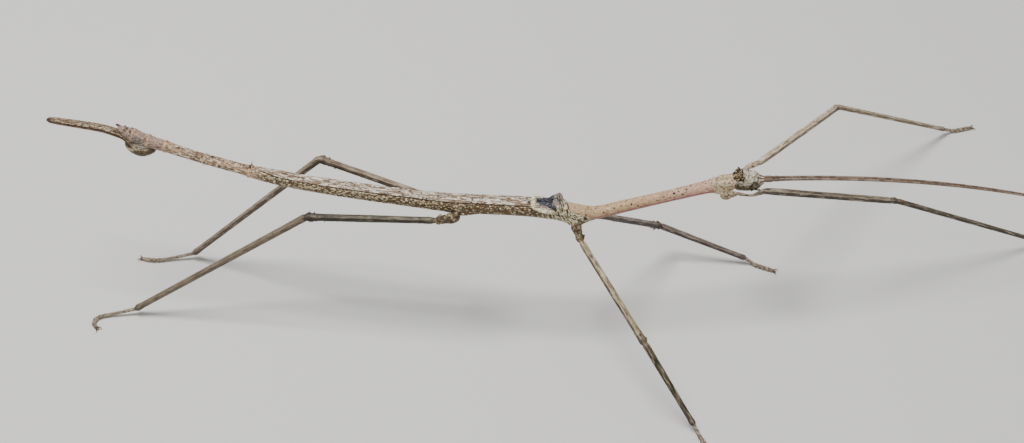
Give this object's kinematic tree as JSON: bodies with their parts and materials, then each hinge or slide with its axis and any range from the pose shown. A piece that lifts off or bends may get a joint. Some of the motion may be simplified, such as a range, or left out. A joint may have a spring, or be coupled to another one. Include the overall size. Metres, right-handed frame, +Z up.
{
  "type": "giant stick insect",
  "caption": "Life-size still model of a winged giant stick insect standing on the floor with its feelers held out in front.",
  "frame": {"origin": "middle of the whole model's plan, on the floor it stands on", "axes": "+X the way the insect looks, +Y its left side, +Z up"},
  "size_m": [0.3306, 0.1484, 0.0627],
  "materials": {
    "head": "rough, lichen-like mottling",
    "eye": "faceted, slightly glossy",
    "antenna": "satin, ringed",
    "thorax": "satin, with small dark dots",
    "abdomen": "rough, bark-like",
    "tail": "satin, streaked",
    "hindwing": "satin, streaked along its veins",
    "tegmen": "rough, bark-like, with a blue-grey hump",
    "coxa": "rough, warty",
    "leg": "satin, ridged and ringed",
    "foot": "satin",
    "claw": "slightly glossy"
  },
  "bodies": {
    "root": {"head": "head", "mouthparts": "head", "eye_left": "eye", "eye_right": "eye", "antenna_left": "antenna", "antenna_right": "antenna", "prothorax": "thorax", "mesothorax": "thorax", "metathorax": "thorax", "abdomen_01": "abdomen", "abdomen_02": "abdomen", "abdomen_03": "abdomen", "abdomen_04": "abdomen", "abdomen_05": "abdomen", "abdomen_06": "abdomen", "abdomen_07": "abdomen", "abdomen_08": "abdomen", "abdomen_09": "abdomen", "abdomen_10": "abdomen", "ovipositor_beak": "tail", "cercus_left": "tail", "cercus_right": "tail", "hindwing_left": "hindwing", "hindwing_right": "hindwing", "tegmen_left": "tegmen", "tegmen_right": "tegmen", "coxa_fore_left": "coxa", "coxa_fore_right": "coxa", "coxa_mid_left": "coxa", "coxa_mid_right": "coxa", "coxa_hind_left": "coxa", "coxa_hind_right": "coxa", "femur_fore_left": "leg", "femur_fore_right": "leg", "femur_mid_left": "leg", "femur_mid_right": "leg", "femur_hind_left": "leg", "femur_hind_right": "leg", "tibia_fore_left": "leg", "tibia_fore_right": "leg", "tibia_mid_left": "leg", "tibia_mid_right": "leg", "tibia_hind_left": "leg", "tibia_hind_right": "leg", "tarsus_fore_left": "foot", "tarsus_fore_right": "foot", "tarsus_mid_left": "foot", "tarsus_mid_right": "foot", "tarsus_hind_left": "foot", "tarsus_hind_right": "foot", "claws_fore_left": "claw", "claws_fore_right": "claw", "claws_mid_left": "claw", "claws_mid_right": "claw", "claws_hind_left": "claw", "claws_hind_right": "claw"}
  },
  "joints": []
}
